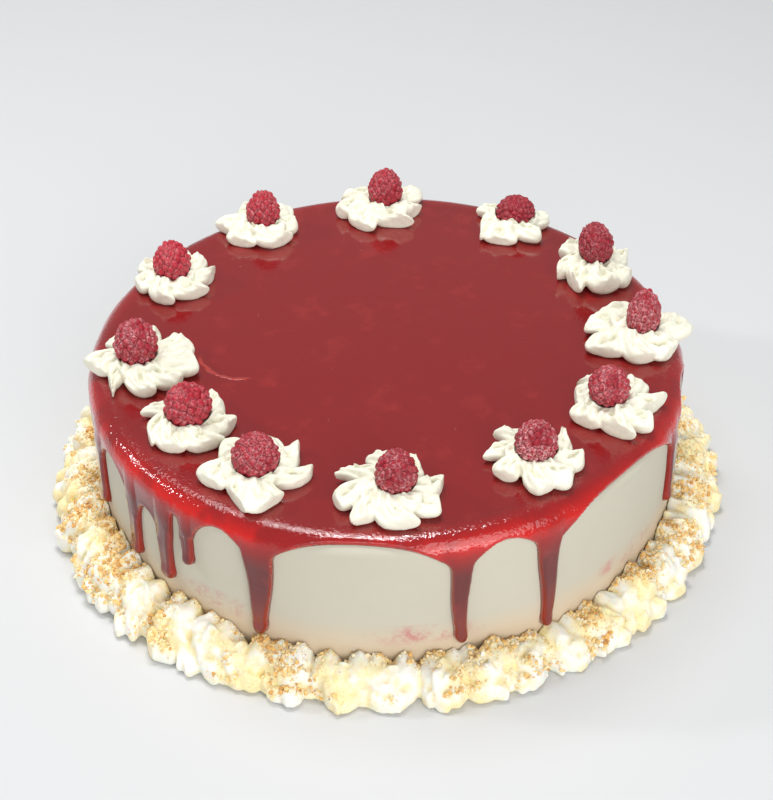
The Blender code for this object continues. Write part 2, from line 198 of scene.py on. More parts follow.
def frosting_finish():
    finish, tree, shader, where = new_finish("frosting_spread", Roughness=0.60)
    height = add_node(tree, 'ShaderNodeSeparateXYZ', Vector=where).outputs["Z"]
    cloud = speckle(tree, where, 28.0)
    colour = blended(tree, cloud, FROSTING_WHITE, FROSTING_SHADE)
    # Painted light: the wall turns warmer just above the border, where the border's glow would
    # fall.
    low = times(tree, mask(tree, height, 0.034, 0.018), 0.60)
    colour = blended(tree, low, colour, FROSTING_BORDER_GLOW)
    patches = mask(tree, speckle(tree, where, 95.0, 5.0, 0.7), 0.42, 0.66)
    stain = times(tree, attribute(tree, "stain"), patches)
    colour = blended(tree, times(tree, stain, 0.9), colour, STAIN_PINK)
    cells = add_node(tree, 'ShaderNodeTexVoronoi', Vector=where, Scale=150.0)
    sizes = times(tree, mask(tree, speckle(tree, where, 60.0), 0.60, 0.78), 0.11)
    dots = maths(tree, 'LESS_THAN', cells.outputs["Distance"], sizes)
    colour = blended(tree, times(tree, dots, 0.7), colour, SPECK_BROWN)
    stretched = add_node(tree, 'ShaderNodeMapping', Vector=where, Scale=(30.0, 30.0, 420.0))
    strokes = speckle(tree, stretched.outputs["Vector"], 1.0, 4.0)
    grain = speckle(tree, where, 900.0, 2.0)
    relief = plus(tree, strokes, times(tree, grain, 0.35))
    connect(tree, shader, Base_Color=colour, Normal=emboss(tree, relief, 0.35, 0.0004))
    return finish


def make_cake():
    """The frosted round, with a soft shoulder and the marks of the spatula."""
    bm = bmesh.new()
    bmesh.ops.create_cone(
        bm, cap_ends=True, segments=WALL_STEPS, radius1=CAKE_RADIUS, radius2=CAKE_RADIUS,
        depth=CAKE_TOP, matrix=Matrix.Translation((0.0, 0.0, CAKE_TOP / 2)))
    rim = [edge for edge in bm.edges if all(v.co.z > CAKE_TOP / 2 for v in edge.verts)]
    bmesh.ops.bevel(bm, geom=rim, offset=SHOULDER, segments=SHOULDER_STEPS, profile=0.5,
                    affect='EDGES', material=-1)
    upright = [
        edge for edge in bm.edges
        if abs(edge.verts[0].co.z - edge.verts[1].co.z) > CAKE_TOP / 2
    ]
    bmesh.ops.subdivide_edges(bm, edges=upright, cuts=WALL_ROWS)
    stain = bm.verts.layers.float.new("stain")
    for vert in bm.verts:
        radius = math.hypot(vert.co.x, vert.co.y)
        if radius < CAKE_RADIUS - SHOULDER / 2:
            continue
        angle = math.degrees(math.atan2(vert.co.x, -vert.co.y))
        stretch = 1.0 + spread_relief(angle, vert.co.z) / radius
        vert.co.x *= stretch
        vert.co.y *= stretch
        for bearing, height, half_width, half_height in STAINS:
            turn = (angle - bearing + 180.0) % 360.0 - 180.0
            away = math.hypot(turn / half_width, (vert.co.z - height) / half_height)
            vert[stain] = max(vert[stain], 1.0 - min(1.0, away / 1.3) ** 2)
    bmesh.ops.recalc_face_normals(bm, faces=bm.faces)
    return mesh_of(bm)


add_piece("cake_frosting", make_cake(), frosting_finish(), "frosting", "cake")


# ---- Berry glaze
# A glossy red fruit glaze, poured over the top. It runs over the rounded shoulder
# and down the wall in sixteen drips, and sets with a rounded hem and heavy feet.
# It is made as one skin in the flat, bearing along and run down, and then wrapped.
GLAZE_TOP_THICKNESS = 0.0016
GLAZE_WALL_THICKNESS = 0.0013
GLAZE_LIFT = 0.00005
GLAZE_CELL = 0.00064
HEM_ROUNDING = 0.0017
DRIP_SWELL = 0.0012
FOOT_BEAD = 0.0006
FOOT_SWELL = 0.16
DRIP_WANDER = 0.0005
FILM_RIPPLE = 0.16
HEM_SWELL = 0.22
BLEND = 0.0020
FLARE_DROP = 0.014
FLARE_WIDTH = 5.5
TAPER_START = 0.047
TOP_RINGS = (0.0030, 0.0050, 0.0080, 0.0160, 0.0300, 0.0300)
# Colours along the run down the glaze. The bright band on the shoulder is partly the thinner
# film over the white cake and partly painted light, where the shoulder turns to the lamps.
GLAZE_DEEP = (0.215, 0.006, 0.007, 1.0)
GLAZE_RISING = (0.30, 0.005, 0.005, 1.0)
GLAZE_BRIGHT = (0.62, 0.010, 0.006, 1.0)
GLAZE_FALLING = (0.34, 0.006, 0.004, 1.0)
GLAZE_WALL = (0.125, 0.008, 0.006, 1.0)
GLAZE_FOOT = (0.20, 0.016, 0.007, 1.0)
GLAZE_BLOTCH = (0.33, 0.018, 0.016, 1.0)
GLAZE_SCUFF = (0.50, 0.05, 0.035, 1.0)
# Painted highlight: the whitish glint on the tiny bubbles in the drips.
GLAZE_PAINTED_GLINT = (0.80, 0.55, 0.45, 1.0)
SCUFF_MIDDLE = (-0.0593, -0.0028, 0.0723)
SCUFF_RADIUS = 0.0191
SCUFF_SPOT = (-0.0706, -0.0182, 0.0723)

# Drips in order: bearing, half width, height of the foot, height of the arch to the
# next drip, then the width near the top and at the foot as shares of the half width.
DRIPS = (
    (-171.0, 0.0036, 0.030, 0.0650, 1.15, 0.75),
    (-143.0, 0.0044, 0.019, 0.0690, 1.25, 0.60),
    (-119.0, 0.0032, 0.037, 0.0670, 1.05, 0.85),
    (-94.0, 0.0038, 0.024, 0.0640, 1.20, 0.70),
    (-70.0, 0.0042, 0.0255, 0.0626, 1.12, 0.80),
    (-54.0, 0.0036, 0.0235, 0.0545, 1.02, 0.88),
    (-44.2, 0.0038, 0.0250, 0.0620, 1.05, 0.85),
    (-38.3, 0.0030, 0.040, 0.0655, 0.92, 0.74),
    (-23.4, 0.0046, 0.0185, 0.0694, 1.20, 0.56),
    (12.5, 0.0034, 0.0195, 0.0664, 1.15, 0.70),
    (29.2, 0.0036, 0.0155, 0.0690, 1.20, 0.58),
    (67.5, 0.0034, 0.0265, 0.0680, 1.10, 0.80),
    (91.0, 0.0036, 0.033, 0.0690, 1.10, 0.75),
    (114.0, 0.0044, 0.022, 0.0660, 1.25, 0.60),
    (139.0, 0.0032, 0.041, 0.0688, 1.00, 0.85),
    (163.0, 0.0040, 0.024, 0.0692, 1.20, 0.65),
)

SHOULDER_RUN = SHOULDER * math.pi / 2
SHOULDER_FOOT = CAKE_TOP - SHOULDER
SHOULDER_RADIUS = CAKE_RADIUS - SHOULDER
ROUND = 2.0 * math.pi * CAKE_RADIUS


def run_to_height(height):
    """Run down the skin, from where its shoulder starts, to a height."""
    if height <= SHOULDER_FOOT:
        return SHOULDER_RUN + SHOULDER_FOOT - height
    return SHOULDER * math.acos((height - SHOULDER_FOOT) / SHOULDER)


def hem_run(around):
    """How far down the glaze's hem comes beside the drips, along the way round."""
    angle = np.degrees(around / CAKE_RADIUS)
    hem = np.zeros_like(angle)
    edges = [math.degrees(drip[1] / CAKE_RADIUS) for drip in DRIPS]
    for index, drip in enumerate(DRIPS):
        after = (index + 1) % len(DRIPS)
        turn = 360.0 if after == 0 else 0.0
        left = drip[0] + edges[index]
        right = DRIPS[after][0] + turn - edges[after]
        width = min(FLARE_WIDTH, (right - left) / 4)
        start = drip[0] - 0.001
        end = DRIPS[after][0] + turn + 0.001
        for shift in (0.0, -360.0, 360.0):
            near = angle + shift
            inside = (near >= start) & (near <= end)
            near = np.clip(near[inside], left, right)
            flare = np.exp((left - near) / width) + np.exp((near - right) / width)
            flare -= 2.0 * math.exp((left - right) / (2 * width))
            found = run_to_height(drip[3]) + FLARE_DROP * np.maximum(0.0, flare)
            hem[inside] = np.maximum(hem[inside], found)
    return hem


def drip_half_width(drip, run):
    """Half the width of a drip at a run down the wall: it tapers, and swells at the foot."""
    _, half_width, foot, _, top_share, foot_share = drip
    start = run_to_height(TAPER_START)
    end = run_to_height(foot)
    down = np.clip((run - start) / (end - start), -0.3, 1.0)
    swell = FOOT_SWELL * np.exp(-((end - 1.1 * half_width - run) / 0.0022) ** 2)
    return half_width * (top_share + (foot_share - top_share) * down + swell * foot_share)


def glaze_depth(around, run):
    """Distance inside the glaze's outline, share across a drip, and nearness of a foot."""
    step = 0.0004
    slope = (hem_run(around + step) - hem_run(around - step)) / (2 * step)
    film = (hem_run(around) - run) / np.sqrt(1.0 + slope ** 2)
    drips = np.full_like(run, -1.0)
    across = np.zeros_like(run)
    bead = np.zeros_like(run)
    for index, drip in enumerate(DRIPS):
        wander = DRIP_WANDER * np.sin(run * 130.0 + index * 2.1)
        wander = wander * np.clip(run / 0.03, 0.0, 1.0)
        offset = around - math.radians(drip[0]) * CAKE_RADIUS - wander
        offset = (offset + ROUND / 2) % ROUND - ROUND / 2
        half = drip_half_width(drip, run)
        end = run_to_height(drip[2])
        foot_half = float(drip_half_width(drip, np.array([end - 0.5 * drip[1]]))[0])
        past = np.maximum(0.0, run - (end - foot_half))
        half = np.where(past > 0.0, foot_half, half)
        away = np.hypot(offset, past)
        drips = np.maximum(drips, half - away)
        share = np.clip(away / half, 0.0, 1.0)
        fade = np.clip((run - 0.004) / 0.014, 0.0, 1.0)
        across = np.maximum(across, np.sqrt(1.0 - share ** 2) * fade * fade * (3 - 2 * fade))
        near_foot = np.exp(-((end - 1.2 * foot_half - run) / 0.0026) ** 2)
        bead = np.maximum(bead, near_foot * np.sqrt(1.0 - share ** 2))
    share = np.clip(0.5 + 0.5 * (film - drips) / BLEND, 0.0, 1.0)
    depth = drips + (film - drips) * share + BLEND * share * (1.0 - share)
    return depth, across, bead


def wrapped(around, run, offset, relief):
    """Points over the cake's skin, from the way round, the run down and the offset."""
    turn = np.clip(run / SHOULDER, 0.0, math.pi / 2)
    lift = SHOULDER + offset
    radius = SHOULDER_RADIUS + np.minimum(run, 0.0) + lift * np.sin(turn)
    height = SHOULDER_FOOT + lift * np.cos(turn) - np.maximum(0.0, run - SHOULDER_RUN)
    radius = radius + relief * np.sin(turn)
    angle = around / CAKE_RADIUS
    return np.stack((radius * np.sin(angle), -radius * np.cos(angle), height), axis=1)


def only(items, kind):
    """The items of one kind, out of what a bmesh operation gives."""
    return [item for item in items if isinstance(item, kind)]


def make_glaze():
    """The poured skin: cut out in the flat, thickened, and wrapped over the cake."""
    deepest = max(run_to_height(drip[2]) for drip in DRIPS) + 2 * GLAZE_CELL
    columns = round(ROUND / GLAZE_CELL)
    rows = round(deepest / GLAZE_CELL)
    bm = bmesh.new()
    bmesh.ops.create_grid(bm, x_segments=columns, y_segments=rows, size=1.0)
    for vert in bm.verts:
        vert.co.x *= ROUND / 2
        vert.co.y = (vert.co.y + 1.0) / 2 * deepest
    flat = np.array([(vert.co.x, vert.co.y) for vert in bm.verts])
    depth = glaze_depth(flat[:, 0], flat[:, 1])[0]
    bm.verts.ensure_lookup_table()
    outside = [bm.verts[i] for i in np.flatnonzero(depth < -0.5 * GLAZE_CELL)]
    bmesh.ops.delete(bm, geom=outside, context='VERTS')
    stray = [vert for vert in bm.verts if not vert.link_faces]
    bmesh.ops.delete(bm, geom=stray, context='VERTS')

    # The outline's points are drawn onto the true outline.
    side = ROUND / 2 - 1e-6
    hem = [
        vert for vert in bm.verts
        if vert.is_boundary and vert.co.y > 1e-6 and abs(vert.co.x) < side
    ]
    spots = np.array([(vert.co.x, vert.co.y) for vert in hem])
    step = 0.00005
    for _ in range(4):
        x, y = spots[:, 0], spots[:, 1]
        here = glaze_depth(x, y)[0]
        gx = (glaze_depth(x + step, y)[0] - here) / step
        gy = (glaze_depth(x, y + step)[0] - here) / step
        size = np.maximum(gx ** 2 + gy ** 2, 0.25)
        spots[:, 0] -= here * gx / size
        spots[:, 1] -= here * gy / size
    for vert, (x, y) in zip(hem, spots):
        vert.co.x = x
        vert.co.y = y

    # The flat top: rings drawn inward from where the shoulder starts, and a cap.
    ring = [edge for edge in bm.edges if all(vert.co.y < 1e-6 for vert in edge.verts)]
    for width in TOP_RINGS:
        drawn = bmesh.ops.extrude_edge_only(bm, edges=ring)["geom"]
        ring = only(drawn, bmesh.types.BMEdge)
        for vert in only(drawn, bmesh.types.BMVert):
            vert.co.y -= width
    flat = np.array([(vert.co.x, vert.co.y) for vert in bm.verts])
    depth, across, bead = glaze_depth(flat[:, 0], np.maximum(flat[:, 1], 0.0))
    depth = np.maximum(depth, 0.0)
    bm.verts.index_update()
    at_hem = np.zeros(len(flat), dtype=bool)
    at_hem[[vert.index for vert in hem]] = True
    depth[at_hem] = 0.0

    run = flat[:, 1]
    wall = np.clip(run / SHOULDER_RUN, 0.0, 1.0)
    film = GLAZE_TOP_THICKNESS + (GLAZE_WALL_THICKNESS - GLAZE_TOP_THICKNESS) * wall
    ripple = np.array([
        noise.noise(Vector((math.sin(x / CAKE_RADIUS) * 7.0, math.cos(x / CAKE_RADIUS) * 7.0,
                            y * 90.0)))
        for x, y in flat
    ])
    film = film * (1.0 + FILM_RIPPLE * ripple * wall)
    film = film * (1.0 + HEM_SWELL * np.exp(-((depth - 0.0014) / 0.0012) ** 2) * wall)
    edge = np.sqrt(1.0 - (1.0 - np.minimum(depth / HEM_ROUNDING, 1.0)) ** 2)
    thickness = edge * film + edge * (DRIP_SWELL * across + FOOT_BEAD * bead)
    relief = np.array([
        spread_relief(math.degrees(x / CAKE_RADIUS), CAKE_TOP - max(0.0, y - 0.004))
        for x, y in flat
    ])
    outer = wrapped(flat[:, 0], run, GLAZE_LIFT + thickness, relief)
    inner = wrapped(flat[:, 0], run, np.full_like(run, GLAZE_LIFT), relief)

    layers = bm.verts.layers
    for name, values in (("run", run), ("drip", across), ("hem", depth)):
        layer = layers.float.new(name)
        for vert, value in zip(bm.verts, values):
            vert[layer] = value
    number = layers.int.new("number")
    for index, vert in enumerate(bm.verts):
        vert[number] = index
    everything = bm.verts[:] + bm.edges[:] + bm.faces[:]
    outside = bm.verts[:]
    copied = bmesh.ops.duplicate(bm, geom=everything)["geom"]
    inside = only(copied, bmesh.types.BMVert)
    for verts, points in ((outside, outer), (inside, inner)):
        for vert in verts:
            vert.co = points[vert[number]]
    layers.int.remove(number)
    bmesh.ops.remove_doubles(bm, verts=bm.verts, dist=0.00002)
    open_edges = [edge for edge in bm.edges if edge.is_boundary]
    bmesh.ops.holes_fill(bm, edges=open_edges, sides=0)
    bmesh.ops.recalc_face_normals(bm, faces=bm.faces)
    return mesh_of(bm)


def ramp(tree, value, *stops):
    """Colours at places along a value."""
    node = add_node(tree, 'ShaderNodeValToRGB', Fac=value)
    elements = node.color_ramp.elements
    while len(elements) < len(stops):
        elements.new(0.5)
    for element, (position, colour) in zip(elements, stops):
        element.position = position
        element.color = colour
    return node.outputs["Color"]


def distance_from(tree, where, spot):
    node = add_node(tree, 'ShaderNodeVectorMath', {"operation": 'DISTANCE'}, Vector=where)
    node.inputs[1].default_value = spot
    return node.outputs["Value"]


def scuff_mask(tree, where):
    """A short curved scuff that a finger left on the top, near its left side."""
    warp = speckle(tree, where, 260.0, 3.0)
    from_middle = distance_from(tree, where, SCUFF_MIDDLE)
    wander = times(tree, maths(tree, 'SUBTRACT', warp, 0.5), 0.0030)
    radius = plus(tree, from_middle, wander)
    off_line = maths(tree, 'ABSOLUTE', maths(tree, 'SUBTRACT', radius, SCUFF_RADIUS))
    near = mask(tree, distance_from(tree, where, SCUFF_SPOT), 0.0165, 0.0110)
    return times(tree, mask(tree, off_line, 0.0011, 0.0002), near)


def glaze_finish():
    finish, tree, shader, where = new_finish(
        "berry_glaze_poured", IOR=1.42, Coat_Weight=0.6, Coat_Roughness=0.04)
    run = attribute(tree, "run")
    cloud = speckle(tree, where, 22.0, 4.0)
    wander = times(tree, maths(tree, 'SUBTRACT', cloud, 0.5), 0.010)
    warped = plus(tree, run, wander)
    # Deep red on the top, a bright band on the shoulder, darker down the wall. The band is
    # partly thin glaze over the white cake and partly painted light.
    along = mask(tree, warped, -0.004, 0.022)
    colour = ramp(tree, along, (0.0, GLAZE_DEEP), (0.16, GLAZE_RISING), (0.42, GLAZE_BRIGHT),
                  (0.62, GLAZE_FALLING), (1.0, GLAZE_WALL))
    on_shoulder = maths(tree, 'SUBTRACT', mask(tree, run, -0.008, 0.0),
                        mask(tree, run, 0.006, 0.014))
    streaks = mask(tree, speckle(tree, where, 42.0, 3.0), 0.44, 0.62)
    streaks = times(tree, streaks, times(tree, on_shoulder, 0.75))
    colour = blended(tree, streaks, colour, GLAZE_DEEP)
    foot = mask(tree, warped, 0.030, 0.048)
    colour = blended(tree, foot, colour, GLAZE_FOOT)
    thin = mask(tree, attribute(tree, "hem"), 0.0016, 0.0002)
    colour = blended(tree, times(tree, thin, 0.35), colour, GLAZE_BRIGHT)
    blotches = mask(tree, speckle(tree, where, 60.0, 5.0, 0.65), 0.52, 0.75)
    colour = blended(tree, times(tree, blotches, 0.45), colour, GLAZE_BLOTCH)
    scuff = scuff_mask(tree, where)
    colour = blended(tree, times(tree, scuff, 0.7), colour, GLAZE_SCUFF)
    on_drips = mask(tree, run, 0.016, 0.022)
    # Tiny bubbles on the drips: a bump in the relief, and a whitish painted glint on each in
    # the colour.
    bubbles = add_node(tree, 'ShaderNodeTexVoronoi', Vector=where, Scale=330.0)
    bubble_glints = mask(tree, bubbles.outputs["Distance"], 0.20, 0.10)
    bubble_glints = times(tree, bubble_glints, mask(tree, speckle(tree, where, 110.0, 1.0), 0.60, 0.66))
    bubble_glints = times(tree, bubble_glints, on_drips)
    colour = blended(tree, times(tree, bubble_glints, 0.8), colour, GLAZE_PAINTED_GLINT)
    on_top = mask(tree, run, 0.003, -0.002)
    cloudy = speckle(tree, where, 45.0, 6.0, 0.7)
    dull = plus(tree, times(tree, on_top, 0.06), 0.05)
    dull = plus(tree, dull, times(tree, cloudy, 0.10))
    cells = add_node(tree, 'ShaderNodeTexVoronoi', Vector=where, Scale=170.0)
    rare = mask(tree, speckle(tree, where, 75.0, 1.0), 0.58, 0.64)
    pin = times(tree, mask(tree, cells.outputs["Distance"], 0.16, 0.05), rare)
    grain = speckle(tree, where, 700.0, 2.0, 0.5)
    swell = speckle(tree, where, 40.0, 2.0)
    rough = plus(tree, times(tree, on_shoulder, 0.50), 0.05)
    relief = times(tree, grain, rough)
    for part, strength in ((swell, 0.5), (pin, 0.22), (scuff, 0.25), (bubble_glints, 0.5)):
        relief = plus(tree, relief, times(tree, part, strength))
    surface = emboss(tree, relief, 0.5, 0.0010)
    connect(tree, shader, Base_Color=colour, Roughness=dull, Normal=surface,
            Coat_Normal=surface)
    return finish


add_piece("glaze_poured", make_glaze(), glaze_finish(), "berry_glaze", "glaze")


# ---- Rosettes
# Twelve rosettes of stiff whipped cream, piped in a turn of a star tip, so each is a
# ring of rounded folds round a mound. A raspberry is pressed into every one, and the
# cream closes round it.
GLAZE_UPPER = CAKE_TOP + GLAZE_LIFT + GLAZE_TOP_THICKNESS
CREAM_LOWEST = GLAZE_UPPER + 0.00005
DEEPEST_FOLD = 0.00024
CREAM_VOXEL = 0.00043
CREAM_WHITE = (0.86, 0.845, 0.70, 1.0)
# Painted shade: the darker colour deep in the folds of the cream.
CREAM_FOLD_SHADE = (0.63, 0.60, 0.45, 1.0)

# Bearing and radius of the rosette's place, its width, its lobes, the height of its
# cream, then the berry's shift along X, the height of its middle over the glaze, its
# width, its length, its lean in degrees, and the bearing that it leans towards.
ROSETTES = (
    (-179.1, 0.1077, 0.0360, 7, 0.0088, 0.0022, 0.0126, 0.0168, 0.0206, 5.0, 120.0),
    (147.9, 0.1095, 0.0325, 6, 0.0084, 0.0021, 0.0090, 0.0187, 0.0136, 8.0, -40.0),
    (119.4, 0.1059, 0.0343, 7, 0.0120, 0.0004, 0.0166, 0.0164, 0.0206, 14.0, -135.0),
    (91.7, 0.1061, 0.0402, 7, 0.0090, 0.0022, 0.0128, 0.0149, 0.0226, 16.0, 165.0),
    (62.6, 0.1030, 0.0352, 7, 0.0092, -0.0032, 0.0134, 0.0177, 0.0180, 10.0, 90.0),
    (36.3, 0.0980, 0.0368, 8, 0.0086, -0.0010, 0.0113, 0.0178, 0.0194, 6.0, -20.0),
    (0.8, 0.0978, 0.0399, 8, 0.0088, 0.0018, 0.0125, 0.0168, 0.0214, 4.0, 30.0),
    (-30.6, 0.0985, 0.0391, 7, 0.0086, -0.0002, 0.0112, 0.0193, 0.0190, 7.0, 10.0),
    (-55.9, 0.0952, 0.0358, 7, 0.0088, 0.0003, 0.0117, 0.0201, 0.0190, 6.0, -80.0),
    (-82.2, 0.1018, 0.0407, 8, 0.0092, -0.0021, 0.0134, 0.0191, 0.0228, 5.0, 150.0),
    (-118.1, 0.1057, 0.0350, 7, 0.0086, -0.0006, 0.0116, 0.0173, 0.0200, 12.0, -170.0),
    (-147.9, 0.1082, 0.0335, 6, 0.0086, 0.0018, 0.0116, 0.0163, 0.0200, 10.0, 160.0),
)

# The bearing of each rosette's first lobe.
FIRST_LOBES = (10.0, 30.0, 0.0, -70.0, -20.0, -22.0, -3.0, 5.0, -35.0, -12.0, 20.0, 15.0)
BERRY_TAPER = 0.14
BERRY_ROOM = 1.012


def berry_frame(row):
    """Matrix from a unit ball to the berry's body: its size, its lean and its place."""
    angle, ring_radius, shift = row[0], row[1], row[5]
    middle, width, length, lean, lean_bearing = row[6:]
    seat = place(angle, ring_radius, GLAZE_UPPER + middle) + Vector((shift, 0.0, 0.0))
    tilt = Matrix.Rotation(math.radians(lean), 4, place(lean_bearing + 90.0, 1.0, 0.0))
    size = Matrix.Diagonal((width / 2, width / 2, length / 2, 1.0))
    return Matrix.Translation(seat) @ tilt @ size


def mesh_points(mesh):
    points = np.empty(len(mesh.vertices) * 3)
    mesh.vertices.foreach_get("co", points)
    return points.reshape(-1, 3)


def fold_ball():
    """The unit ball that every fold of cream is drawn out of."""
    bm = bmesh.new()
    bmesh.ops.create_icosphere(bm, subdivisions=4, radius=1.0)
    return mesh_of(bm)


def add_fold(bm, middle, bearing, near, far, half_width, low, high, draw, swirl, crisp):
    """One blunt fold of piped cream, with a crest and a hollow, pointing outward."""
    crest = draw.uniform(0.10, 0.50) * draw.choice((-1.0, 1.0))
    hollow_side = -0.45 if crest > 0.0 else 0.45
    hollow = draw.uniform(0.40, 0.80) * crisp
    corner = draw.uniform(-0.65, 0.65) * crisp
    droop = draw.uniform(0.0, 0.25)
    ridge = draw.uniform(0.22, 0.48) * crisp
    point = draw.choice((0.0, 0.0, 0.40))
    ribs = draw.uniform(0.07, 0.13) * crisp
    rise = (high - low) / 2
    mesh = FOLD_BALL.copy()
    u, v, w = mesh_points(mesh).T
    blunt = np.maximum(1e-4, 1.0 - u * u) ** -0.31
    v = v * blunt
    w = w * blunt
    along = (u + 1.0) / 2.0
    top = np.maximum(w, 0.0)
    spread = half_width * (0.62 + 0.50 * along) * (1.0 - point * along * along)
    side = spread * v * (1.0 - 0.24 * top * top)
    out = near + (far - near) * along * (1.0 + 0.12 * point)
    out = out + corner * half_width * v * np.maximum(u, 0.0)
    up = rise * w * (1.0 - 0.15 * top)
    drift = 1.25 - 1.9 * along
    up = up + rise * ridge * top * np.exp(-np.sqrt((v - crest * drift) ** 2 + 0.004) / 0.24)
    dent = np.exp(-((u - 0.25) / 0.50) ** 2 - ((v - hollow_side * drift) / 0.30) ** 2)
    up = up - rise * (hollow * dent + droop * along * along) * top
    grooves = 2.0 * np.abs(np.cos(6.0 * (v - crest * drift))) - 1.0
    up = up + rise * ribs * grooves * np.minimum(1.0, 2.0 * top)
    turn = np.radians(bearing + swirl * along * along)
    sine, cosine = np.sin(turn), np.cos(turn)
    spots = np.stack((out * sine + side * cosine, side * sine - out * cosine,
                      low + rise + up), axis=1) + np.array(middle)
    mesh.vertices.foreach_set("co", spots.ravel())
    bm.from_mesh(mesh)
    bpy.data.meshes.remove(mesh)


def reworked(mesh, kind, **settings):
    """The mesh that one modifier makes of another mesh."""
    holder = add_object("working", mesh)
    modifier = holder.modifiers.new("work", kind)
    for name, value in settings.items():
        setattr(modifier, name, value)
    graph = bpy.context.evaluated_depsgraph_get()
    mesh = bpy.data.meshes.new_from_object(holder.evaluated_get(graph))
    bpy.data.objects.remove(holder, do_unlink=True)
    return mesh


def mesh_edges(mesh):
    edges = np.empty(len(mesh.edges) * 2, dtype=np.int64)
    mesh.edges.foreach_get("vertices", edges)
    return edges.reshape(-1, 2)


def neighbour_mean(values, edges):
    """Mean over each point's neighbours, for a column or several of values."""
    count = len(values)
    first, second = edges[:, 0], edges[:, 1]
    links = np.bincount(first, minlength=count) + np.bincount(second, minlength=count)
    flat = values.reshape(count, -1)
    sums = np.stack([
        np.bincount(first, column[second], count) + np.bincount(second, column[first], count)
        for column in flat.T
    ], axis=1)
    return (sums / np.maximum(links, 1)[:, None]).reshape(values.shape)


def smoothed(points, edges, passes, share=0.5):
    """Points, or values at them, drawn towards their neighbours' mean."""
    for _ in range(passes):
        points = points + share * (neighbour_mean(points, edges) - points)
    return points


def normals_at(mesh, points):
    """Move the mesh's points to these places, and read its normals there."""
    normals = np.empty(len(points) * 3)
    mesh.vertices.foreach_set("co", points.ravel())
    mesh.update()
    mesh.vertices.foreach_get("normal", normals)
    return normals.reshape(-1, 3)


def roughened(mesh, points, size, amount, seed):
    """Move points along their normals by a cloudy pattern."""
    normals = normals_at(mesh, points)
    waves = np.array([
        noise.noise(Vector((x / size + seed, y / size, z / size))) for x, y, z in points
    ])
    return points + normals * (amount * waves)[:, None]


def store_folds(mesh, points, edges):
    """Keep how far each place lies in a fold, from 0 on the crests to 1 in creases."""
    normals = normals_at(mesh, points)
    broad = smoothed(points, edges, 10)
    depth = np.einsum("ij,ij->i", broad - points, normals)
    depth = smoothed(depth, edges, 4)
    layer = mesh.attributes.new("fold", 'FLOAT', 'POINT')
    layer.data.foreach_set("value", np.clip(depth / DEEPEST_FOLD, 0.0, 1.0))


def clear_of_berry(points, row):
    """Press the cream out of the berry's body and off the glaze, so it closes on them."""
    body = berry_frame(row)
    to_unit = np.array(body.inverted())
    to_place = np.array(body)
    local = points @ to_unit[:3, :3].T + to_unit[:3, 3]
    taper = 1.0 - BERRY_TAPER * np.clip(local[:, 2], 0.0, 1.0)
    local[:, :2] /= taper[:, None]
    reach = np.linalg.norm(local, axis=1)
    stretch = np.where(reach < BERRY_ROOM, BERRY_ROOM / np.maximum(reach, 1e-6), 1.0)
    local *= stretch[:, None]
    local[:, :2] *= taper[:, None]
    points = local @ to_place[:3, :3].T + to_place[:3, 3]
    points[:, 2] = np.maximum(points[:, 2], CREAM_LOWEST)
    return points


def make_rosette(number, row):
    """Two rings of folds round a mound, joined to one skin that closes on the berry."""
    angle, ring_radius, width, lobes, cream_height = row[:5]
    draw = random.Random(100 + number)
    middle = place(angle, ring_radius, GLAZE_UPPER)
    berry_middle = middle + Vector((row[5], 0.0, 0.0))
    half = width / 2
    bm = bmesh.new()
    start = FIRST_LOBES[number - 1]
    fold_width = 1.16 * math.pi * 0.72 * half / lobes
    for lobe in range(lobes):
        bearing = start + 360.0 * (lobe + draw.uniform(-0.10, 0.10)) / lobes
        reach = half * draw.uniform(0.95, 1.07)
        broad = fold_width * draw.uniform(0.84, 1.26)
        high = cream_height * draw.uniform(0.82, 1.0)
        add_fold(bm, middle, bearing, 0.22 * half, reach, broad, -0.0012, high, draw,
                 draw.uniform(10.0, 30.0), 1.35)
    # The second turn of the tip lies inside the first, a little higher.
    inner = max(4, lobes - 2)
    for lobe in range(inner):
        bearing = start + 24.0 + 360.0 * (lobe + draw.uniform(-0.15, 0.15)) / inner
        add_fold(bm, berry_middle, bearing, 0.10 * half, 0.66 * half, fold_width * 0.85,
                 0.0010, cream_height * draw.uniform(1.0, 1.12), draw, 26.0, 1.2)
    mound = bmesh.ops.create_icosphere(bm, subdivisions=4, radius=1.0)["verts"]
    for vert in mound:
        u, v, w = vert.co
        vert.co = berry_middle + Vector((
            0.50 * half * u, 0.50 * half * v, cream_height * (0.42 + 0.52 * w)))
    mesh = reworked(mesh_of(bm), 'REMESH', mode='VOXEL', voxel_size=CREAM_VOXEL)
    edges = mesh_edges(mesh)
    points = smoothed(mesh_points(mesh), edges, 1, 0.5)
    points = roughened(mesh, points, 0.0060, 0.00050, 3.0 * number)
    points = roughened(mesh, points, 0.0020, 0.00016, 7.0 * number)
    points = clear_of_berry(points, row)
    points = clear_of_berry(smoothed(points, edges, 1, 0.3), row)
    store_folds(mesh, points, edges)
    return mesh


